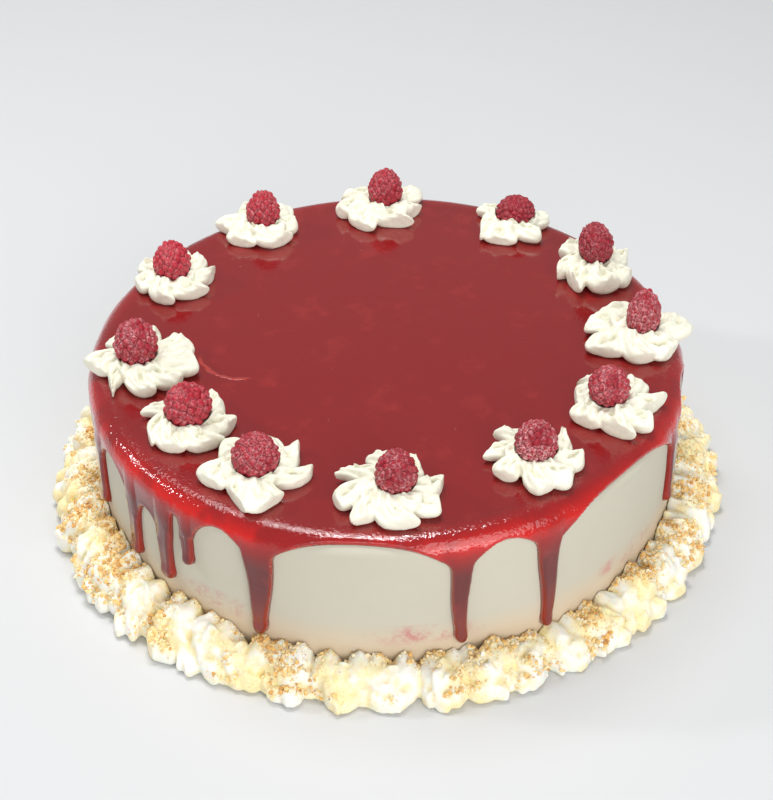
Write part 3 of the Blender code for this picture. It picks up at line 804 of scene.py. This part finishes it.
def cream_surface():
    """Node group for whipped cream: painted shade, darker and yellower, in the folds, faint
    mottling and fine pores.
    """
    group = bpy.data.node_groups.new("whipped_cream", 'ShaderNodeTree')
    for name, way, kind in (
            ("Crest", 'INPUT', 'Color'), ("Fold", 'INPUT', 'Color'),
            ("Depth", 'INPUT', 'Float'), ("Vector", 'INPUT', 'Vector'),
            ("Color", 'OUTPUT', 'Color'), ("Normal", 'OUTPUT', 'Vector')):
        group.interface.new_socket(name, in_out=way, socket_type="NodeSocket" + kind)
    given = group.nodes.new('NodeGroupInput').outputs
    result = group.nodes.new('NodeGroupOutput')
    cloud = speckle(group, given["Vector"], 120.0, 4.0)
    # Painted shade: the colour goes from the crest colour to the fold colour the deeper a
    # place lies in a fold.
    share = times(group, given["Depth"], plus(group, cloud, 0.35))
    colour = blended(group, share, given["Crest"], given["Fold"])
    patches = mask(group, speckle(group, given["Vector"], 38.0, 3.0), 0.50, 0.80)
    colour = blended(group, times(group, patches, 0.35), colour, given["Fold"])
    pores = speckle(group, given["Vector"], 700.0, 3.0, 0.6)
    waves = speckle(group, given["Vector"], 190.0, 2.0)
    relief = plus(group, times(group, pores, 0.35), waves)
    connect(group, result, Color=colour, Normal=emboss(group, relief, 0.30, 0.0004))
    return group


def cream_finish(name, crest, fold, depth):
    finish, tree, shader, where = new_finish(
        name, Roughness=0.48, Subsurface_Weight=depth, Subsurface_Scale=0.003)
    surface = tree.nodes.new('ShaderNodeGroup')
    surface.node_tree = CREAM_SURFACE
    surface.inputs["Crest"].default_value = crest
    surface.inputs["Fold"].default_value = fold
    connect(tree, surface, Depth=attribute(tree, "fold"), Vector=where)
    connect(tree, shader, Base_Color=surface.outputs["Color"],
            Normal=surface.outputs["Normal"])
    return finish


FOLD_BALL = fold_ball()
CREAM_SURFACE = cream_surface()
rosette_finish = cream_finish("rosette_cream_piped", CREAM_WHITE, CREAM_FOLD_SHADE, 0.05)
for number, row in enumerate(ROSETTES, start=1):
    add_piece(f"rosette_cream_{number:02d}", make_rosette(number, row), rosette_finish,
              "rosette_cream", f"rosette_{number:02d}")


# ---- Raspberries
# A frozen raspberry sits in every rosette. Its skin is a bunch of some hundred round
# drupelets, crimson, with a whitish bloom of frost that differs from berry to berry,
# painted shade in the creases between drupelets, and a painted pale highlight round their
# rims.
DRUPELETS = 96
DRUPELET_RELIEF = 0.15
# Painted shade: the deep red sits in the creases between drupelets, and on the dullest
# berries.
BERRY_DEEP = (0.20, 0.003, 0.012, 1.0)
BERRY_RED = (0.48, 0.014, 0.034, 1.0)
# Pale pink for the frost, and for the painted highlights round the drupelets' rims.
FROST_AND_HIGHLIGHT_PINK = (0.84, 0.46, 0.47, 1.0)

# How much frost each berry has, which also scales the painted rim highlights, and how bright
# its red is.
BERRY_LOOKS = (
    (0.35, 0.50), (0.20, 0.22), (0.35, 0.20), (0.65, 0.35), (0.55, 0.40), (1.00, 0.28),
    (0.55, 0.30), (0.50, 0.42), (0.40, 0.60), (0.65, 0.40), (0.35, 0.92), (0.45, 0.70),
)


def make_raspberry(number, row):
    """A berry whose skin bulges in drupelets, set in a spiral and a little astray."""
    draw = random.Random(300 + number)
    bm = bmesh.new()
    bmesh.ops.create_icosphere(bm, subdivisions=6, radius=1.0)
    mesh = mesh_of(bm)
    ways = mesh_points(mesh)
    ways /= np.linalg.norm(ways, axis=1)[:, None]
    centres = []
    for index in range(DRUPELETS):
        level = 1.0 - 2.0 * (index + 0.5) / DRUPELETS
        ring = math.sqrt(1.0 - level * level)
        turn = index * math.pi * (3.0 - math.sqrt(5.0)) + number
        spot = Vector((ring * math.cos(turn), ring * math.sin(turn), level))
        spot += Vector([draw.uniform(-0.10, 0.10) for _ in range(3)])
        centres.append(spot.normalized())
    cosines = np.clip(ways @ np.array(centres).T, -1.0, 1.0)
    nearest = np.argmax(cosines, axis=1)
    rows = np.arange(len(ways))
    first = np.arccos(cosines[rows, nearest])
    cosines[rows, nearest] = -1.0
    second = np.arccos(cosines.max(axis=1))
    dome = np.clip(1.0 - (2.0 * first / (first + second)) ** 2, 0.0, 1.0) ** 0.75
    swell = np.array([draw.uniform(-0.03, 0.02) for _ in range(DRUPELETS)])
    lumps = np.array([
        noise.noise(Vector(way) * 1.7 + Vector((number, 0.0, 0.0)))
        + 0.4 * noise.noise(Vector(way) * 9.0 + Vector((0.0, number, 0.0))) for way in ways
    ])
    reach = 1.0 - DRUPELET_RELIEF * (1.0 - dome) + swell[nearest] * dome + 0.05 * lumps
    reach = np.minimum(reach, 1.005)
    body = ways * reach[:, None]
    body[:, :2] *= (1.0 - BERRY_TAPER * np.clip(body[:, 2], 0.0, 1.0))[:, None]
    matrix = np.array(berry_frame(row))
    points = body @ matrix[:3, :3].T + matrix[:3, 3]
    mesh.vertices.foreach_set("co", points.ravel())
    frost, brightness = BERRY_LOOKS[number - 1]
    tone = np.array([draw.uniform(0.0, 1.0) for _ in range(DRUPELETS)])[nearest]
    for name, values in (
            ("dome", dome), ("tone", tone), ("frost", np.full_like(dome, frost)),
            ("brightness", np.full_like(dome, brightness))):
        mesh.attributes.new(name, 'FLOAT', 'POINT').data.foreach_set("value", values)
    mesh.update()
    return mesh


def raspberry_finish():
    finish, tree, shader, where = new_finish(
        "raspberry_frosted", Subsurface_Weight=0.10, Subsurface_Scale=0.002, IOR=1.38)
    dome = attribute(tree, "dome")
    tone = attribute(tree, "tone")
    # Painted shade: the red darkens towards the creases between drupelets. How bright each
    # berry and drupelet is varies too.
    bright = times(tree, mask(tree, dome, 0.02, 0.50), attribute(tree, "brightness"))
    bright = plus(tree, bright, times(tree, tone, 0.25))
    colour = blended(tree, bright, BERRY_DEEP, BERRY_RED)
    fine = mask(tree, speckle(tree, where, 1000.0, 4.0, 0.75), 0.48, 0.60)
    # Painted highlight: a pale ring round each drupelet's rim, mixed with the real speckle of
    # frost.
    rim_highlights = times(tree, mask(tree, dome, 0.16, 0.34), mask(tree, dome, 0.74, 0.48))
    patches = mask(tree, speckle(tree, where, 160.0, 3.0), 0.28, 0.62)
    frost_and_rim_highlights = maths(tree, 'MAXIMUM', times(tree, fine, 0.75),
                 times(tree, rim_highlights, plus(tree, fine, 0.30)))
    # Frost and painted rim highlights together, in patches, as much as each berry's frost
    # amount gives.
    frost = times(tree, times(tree, frost_and_rim_highlights, patches), attribute(tree, "frost"))
    colour = blended(tree, frost, colour, FROST_AND_HIGHLIGHT_PINK)
    dull = plus(tree, times(tree, frost, 0.45), 0.34)
    crystals = speckle(tree, where, 1900.0, 3.0, 0.7)
    connect(tree, shader, Base_Color=colour, Roughness=dull,
            Normal=emboss(tree, crystals, 0.70, 0.0003))
    return finish


berry_finish = raspberry_finish()
for number, row in enumerate(ROSETTES, start=1):
    add_piece(f"raspberry_fruit_{number:02d}", make_raspberry(number, row), berry_finish,
              "raspberry_skin", f"raspberry_{number:02d}")


# ---- Cream border
# Whipped cream piped with a star tip round the cake's foot: close dollops, heaped up
# against the wall, each with two turns of folds that fan outward and lie on the floor.
DOLLOPS = 44
DOLLOP_SEAT = 0.0055
BORDER_WALL = CAKE_RADIUS + 0.00035
BORDER_VOXEL = 0.00070
BORDER_TRIANGLES = 190000
BORDER_WHITE = (0.95, 0.935, 0.84, 1.0)
# Crumb-yellow in the creases of the border, and painted shade there too.
BORDER_FOLD_CRUMB_SHADE = (0.92, 0.78, 0.46, 1.0)
BORDER_BUTTER = (0.98, 0.82, 0.40, 1.0)
BORDER_DUST = (0.88, 0.58, 0.22, 1.0)

# Reach of the border from the cake's axis and its height, at bearings round it.
BORDER_SHAPE = (
    (-180.0, 0.1445, 0.0198), (-135.0, 0.1460, 0.0180), (-95.0, 0.1485, 0.0205),
    (-60.0, 0.1490, 0.0238), (-42.0, 0.1470, 0.0235), (-22.0, 0.1435, 0.0190),
    (0.0, 0.1420, 0.0192), (13.0, 0.1418, 0.0198), (28.0, 0.1420, 0.0165),
    (60.0, 0.1450, 0.0210), (90.0, 0.1470, 0.0220), (135.0, 0.1455, 0.0200),
    (180.0, 0.1445, 0.0198),
)

# The upper and the lower turn of folds in a dollop: the bearings of its lobes and how
# far they sway, the lobes' length as a share of the room to the border's edge, their
# reach to the sides, where they start, their half width, their lowest point, their
# height as a share of the dollop's, and how far their tips are swept round.
BORDER_TURNS = (
    ((72.0, 26.0), 12.0, (0.72, 0.84, 1.10), 1.6, -0.0020, 0.0056, -0.001, (0.72, 0.98),
     (0.0, 18.0)),
    ((60.0, 20.0), 8.0, (1.0, 0.90, 1.04), 1.5, 0.0010, 0.0055, -0.003, (0.40, 0.62),
     (-4.0, 16.0)),
)
BORDER_CRISP = 0.60
HEAP_CRISP = 0.15


def border_size(angle):
    """Reach and height of the border at a bearing, blended between its rows."""
    angle = (angle + 180.0) % 360.0 - 180.0
    pairs = zip(BORDER_SHAPE, BORDER_SHAPE[1:])
    left, right = next(pair for pair in pairs if angle <= pair[1][0])
    share = (angle - left[0]) / (right[0] - left[0])
    share = share * share * (3.0 - 2.0 * share)
    return [here + (there - here) * share for here, there in zip(left[1:], right[1:])]


def make_border():
    """Dollops side by side, joined to one skin, worked over, and thinned."""
    draw = random.Random(41)
    bm = bmesh.new()
    wall = BORDER_WALL
    side_reach = math.pi * (wall + DOLLOP_SEAT) / DOLLOPS
    for index in range(DOLLOPS):
        bearing = 360.0 * (index + draw.uniform(-0.18, 0.18)) / DOLLOPS
        reach, height = border_size(bearing)
        height *= draw.uniform(0.94, 1.04)
        seat = place(bearing, wall + DOLLOP_SEAT, 0.0)
        longest = reach - wall - DOLLOP_SEAT - draw.uniform(-0.0004, 0.0014)
        turn = bearing + draw.uniform(-10.0, 10.0)
        # Heaps against the wall, and over them two turns of folds, the lower one longer.
        for shift in (-0.25, 0.25):
            beside = bearing + 360.0 * (shift + draw.uniform(-0.1, 0.1)) / DOLLOPS
            add_fold(bm, place(beside, wall, 0.0), beside + draw.uniform(-20.0, 20.0), -0.004,
                     0.32 * (reach - wall) + 0.0045, side_reach * draw.uniform(0.62, 0.84),
                     -0.003, height * draw.uniform(0.96, 1.10), draw, 0.0, HEAP_CRISP)
        for spread, sway, share, beside, near, width, low, high, swirl in BORDER_TURNS:
            for lobe in (-spread[0], -spread[1], spread[1], spread[0]):
                lobe += draw.uniform(-sway, sway)
                length = longest * share[0] * draw.uniform(*share[1:])
                across = max(0.3, abs(math.sin(math.radians(lobe))))
                length = min(length, side_reach * beside / across)
                add_fold(bm, seat, turn + lobe, near, length, width * draw.uniform(0.85, 1.15),
                         low, height * draw.uniform(*high), draw, draw.uniform(*swirl),
                         BORDER_CRISP)
    for vert in bm.verts:
        vert.co.z = max(vert.co.z, 0.0)
        radius = math.hypot(vert.co.x, vert.co.y)
        if radius < wall:
            vert.co.x *= wall / radius
            vert.co.y *= wall / radius
    mesh = reworked(mesh_of(bm), 'REMESH', mode='VOXEL', voxel_size=BORDER_VOXEL)
    edges = mesh_edges(mesh)
    points = smoothed(mesh_points(mesh), edges, 1, 0.5)
    points = roughened(mesh, points, 0.0060, 0.00060, 2.0)
    points = roughened(mesh, points, 0.0022, 0.00026, 5.0)
    points[:, 2] = np.maximum(points[:, 2], 0.0)
    radius = np.hypot(points[:, 0], points[:, 1])
    points[:, :2] *= np.maximum(1.0, (wall - 0.0001) / radius)[:, None]
    store_folds(mesh, points, edges)
    triangles = sum(len(face.vertices) - 2 for face in mesh.polygons)
    return reworked(mesh, 'DECIMATE', ratio=min(1.0, BORDER_TRIANGLES / triangles))


def border_finish():
    # The fold colour is crumb-yellow in the border's creases, and it is also painted shade
    # deep in them.
    finish = cream_finish("piped_cream_border", BORDER_WHITE, BORDER_FOLD_CRUMB_SHADE, 0.25)
    tree = finish.node_tree
    shader = tree.nodes["Principled BSDF"]
    where = tree.nodes["Texture Coordinate"].outputs["Object"]
    cream = shader.inputs["Base Color"].links[0].from_socket
    patches = mask(tree, speckle(tree, where, 62.0, 4.0, 0.6), 0.42, 0.62)
    butter = times(tree, patches, 0.80)
    colour = blended(tree, butter, cream, BORDER_BUTTER)
    dust = mask(tree, speckle(tree, where, 1100.0, 3.0, 0.75), 0.53, 0.66)
    share = times(tree, times(tree, dust, patches), 0.80)
    connect(tree, shader, Base_Color=blended(tree, share, colour, BORDER_DUST))
    return finish


border_mesh = make_border()
add_piece("border_cream_piped", border_mesh, border_finish(), "piped_cream", "cream_border")


# ---- Crumbs
# Toasted biscuit crumbs are strewn over the border, in clusters that leave cream bare
# between them. They lie pressed into the cream: golden and browner bits up to 3 mm,
# pale flakes, fine dust, and a few dark grains.
CRUMB_KINDS = (
    # name, how many, smallest and largest size, corners, two colours, edge of clusters
    ("crumbs_golden", 2900, 0.0006, 0.0025, 18, (0.86, 0.53, 0.17), (0.96, 0.77, 0.40), 0.53),
    ("crumbs_toasted", 900, 0.0006, 0.0026, 18, (0.62, 0.30, 0.08), (0.86, 0.54, 0.19), 0.60),
    ("crumbs_pale", 2400, 0.0006, 0.0023, 16, (0.90, 0.72, 0.40), (0.96, 0.88, 0.66), 0.44),
    ("crumbs_dust", 8500, 0.0003, 0.0009, 9, (0.76, 0.44, 0.14), (0.94, 0.72, 0.36), 0.44),
    ("crumbs_dark", 260, 0.0003, 0.0008, 9, (0.12, 0.06, 0.03), (0.28, 0.14, 0.06), 0.30),
)
CRUMB_SHAPES = 10
LOWEST_CRUMB = 0.0015
WALL_GATHERING = 0.16
GATHERING_WIDTH = 0.0045

# Bearings where crumbs lie thickest, their spread in degrees and their strength.
CRUMB_HEAPS = ((-68.0, 16.0, 0.14), (-38.0, 10.0, 0.08), (68.0, 18.0, 0.05), (14.0, 6.0, 0.10))


def crumb_density(point):
    """How likely crumbs are at a place on the border, from 0 to 1."""
    cloud = 0.5 + 0.62 * noise.noise(Vector((point.x * 58.0, point.y * 58.0, 3.0)))
    cloud += 0.20 * noise.noise(Vector((point.x * 170.0, point.y * 170.0, 8.0)))
    angle = math.degrees(math.atan2(point.x, -point.y))
    for bearing, spread, strength in CRUMB_HEAPS:
        cloud += strength * math.exp(-((angle - bearing) / spread) ** 2)
    # They gather where the cream meets the wall, and few reach the border's edge.
    from_wall = math.hypot(point.x, point.y) - CAKE_RADIUS
    return cloud + WALL_GATHERING * math.exp(-(from_wall / GATHERING_WIDTH) ** 2) - 0.03


def crumb_shapes(corners, draw):
    """A few angular crumbs of unit size, to be turned and stretched when strewn."""
    shapes = []
    for _ in range(CRUMB_SHAPES):
        bm = bmesh.new()
        for _ in range(corners):
            way = Vector([draw.gauss(0.0, 1.0) for _ in range(3)]).normalized()
            bm.verts.new(way * draw.uniform(0.34, 0.60))
        hull = bmesh.ops.convex_hull(bm, input=bm.verts)
        inner = only(hull["geom_interior"], bmesh.types.BMVert)
        bmesh.ops.delete(bm, geom=inner, context='VERTS')
        bmesh.ops.recalc_face_normals(bm, faces=bm.faces)
        shapes.append(mesh_of(bm))
    return shapes


def make_crumbs(count, smallest, largest, corners, threshold, seed, tree):
    """Crumbs of one kind, dropped straight down on the border where they lie thick."""
    draw = random.Random(seed)
    shapes = crumb_shapes(corners, draw)
    bm = bmesh.new()
    placed = 0
    while placed < count:
        angle = draw.uniform(-180.0, 180.0)
        reach = border_size(angle)[0]
        spot = place(angle, draw.uniform(CAKE_RADIUS + 0.0006, reach - 0.0010), 0.05)
        chance = draw.random()
        density = crumb_density(spot)
        if density < threshold or chance > (density - threshold) * 5.0 + 0.06:
            continue
        hit, normal, _, _ = tree.ray_cast(spot, Vector((0.0, 0.0, -1.0)))
        if hit is None or hit.z < LOWEST_CRUMB:
            continue
        size = smallest + (largest - smallest) * draw.random() ** 1.7
        middle = hit + normal * size * draw.uniform(0.05, 0.28)
        if math.hypot(middle.x, middle.y) < CAKE_RADIUS + size * 0.6:
            continue
        stretch = Matrix.Diagonal([size * draw.uniform(0.60, 1.15) for _ in range(3)] + [1.0])
        turn = Matrix.Rotation(draw.uniform(0.0, math.tau), 4, 'Z')
        turn = turn @ Matrix.Rotation(draw.uniform(0.0, math.tau), 4, 'X')
        crumb = draw.choice(shapes).copy()
        crumb.transform(Matrix.Translation(middle) @ turn @ stretch)
        bm.from_mesh(crumb)
        bpy.data.meshes.remove(crumb)
        placed += 1
    return mesh_of(bm)


def crumb_finish(name, dark, light):
    finish, tree, shader, where = new_finish(name, Roughness=0.75)
    tones = speckle(tree, where, 330.0, 3.0, 0.6)
    colour = blended(tree, mask(tree, tones, 0.34, 0.66), dark + (1.0,), light + (1.0,))
    grit = speckle(tree, where, 1800.0)
    connect(tree, shader, Base_Color=colour, Normal=emboss(tree, grit, 0.6, 0.0003))
    return finish


mesh_faces = [tuple(face.vertices) for face in border_mesh.polygons]
border_tree = BVHTree.FromPolygons([vert.co for vert in border_mesh.vertices], mesh_faces)
for seed, kind in enumerate(CRUMB_KINDS, start=1):
    name, count, smallest, largest, corners, dark, light, threshold = kind
    crumbs = make_crumbs(count, smallest, largest, corners, threshold, seed, border_tree)
    add_piece(name, crumbs, crumb_finish(name, dark, light), "piped_cream", smooth=False)


# ---- Floor, light and camera
# A plain pale floor under soft studio light. The camera stands where the photograph
# was taken from: about 0.8 m away, and 40 degrees above the table.
FLOOR_GREY = (0.64, 0.645, 0.65, 1.0)
FLOOR_CLOUD = (0.62, 0.625, 0.63, 1.0)
FLOOR_SIZE = 6.0
FLOOR_LEVEL = -0.0002
SKY_WHITE = (0.93, 0.95, 0.97, 1.0)
SKY_STRENGTH = 0.40

# Lamps: name, width, depth, energy, place and the place they shine at.
LAMPS = (
    ("overhead", 0.7, 0.7, 6.2, (-0.25, 0.35, 1.25), (0.0, 0.0, 0.05)),
    ("ceiling_strip", 0.16, 0.17, 3.2, (0.0, 0.12, 1.13), (0.0, 0.0, 0.05)),
    ("ceiling_pane", 0.045, 0.10, 0.95, (-0.172, 0.12, 1.13), (0.0, 0.0, 0.05)),
    ("window", 0.10, 0.10, 2.6, (-0.96, 0.15, 0.70), (0.0, 0.0, 0.05)),
    ("table_fill", 1.4, 0.4, 4.6, (0.15, -1.25, 0.32), (0.0, -0.1, 0.01)),
    ("front_fill", 1.2, 1.2, 9.5, (0.65, -1.20, 0.80), (0.0, 0.0, 0.04)),
)


def make_floor():
    bm = bmesh.new()
    bmesh.ops.create_grid(bm, x_segments=1, y_segments=1, size=FLOOR_SIZE)
    mesh = mesh_of(bm)
    finish, tree, shader, where = new_finish("pale_floor", Roughness=0.7)
    colour = blended(tree, speckle(tree, where, 3.0), FLOOR_GREY, FLOOR_CLOUD)
    connect(tree, shader, Base_Color=colour)
    mesh.materials.append(finish)
    floor = add_object("floor", mesh)
    floor.location.z = FLOOR_LEVEL


def add_light(name, width, depth, energy, spot, aim):
    lamp = bpy.data.lights.new(name, 'AREA')
    lamp.shape = 'ELLIPSE'
    lamp.size = width
    lamp.size_y = depth
    lamp.energy = energy
    light = add_object(name, lamp)
    light.location = spot
    light.rotation_euler = (Vector(aim) - Vector(spot)).to_track_quat('-Z', 'Y').to_euler()


make_floor()
for lamp_row in LAMPS:
    add_light(*lamp_row)

world = bpy.data.worlds.new("studio")
world.use_nodes = True
sky = world.node_tree.nodes["Background"].inputs
sky["Color"].default_value = SKY_WHITE
sky["Strength"].default_value = SKY_STRENGTH
bpy.context.scene.world = world

CAMERA_DISTANCE = 0.791
CAMERA_RISE = math.radians(40.1)
CAMERA_ROLL = -0.0135
CAMERA_AIM = Vector((-0.0002, 0.0, 0.0436))
CAMERA_LENS = 79.56
lens = bpy.data.cameras.new("camera")
lens.lens = CAMERA_LENS
lens.sensor_width = 36.0
lens.clip_start = 0.05
camera = add_object("camera", lens)
eye = Vector((0.0, -CAMERA_DISTANCE * math.cos(CAMERA_RISE),
              CAMERA_DISTANCE * math.sin(CAMERA_RISE)))
look = (CAMERA_AIM - eye).to_track_quat('-Z', 'Y').to_matrix().to_4x4()
camera.matrix_world = Matrix.Translation(eye) @ look @ Matrix.Rotation(CAMERA_ROLL, 4, 'Z')
bpy.context.scene.camera = camera
bpy.context.scene.view_settings.view_transform = 'Standard'
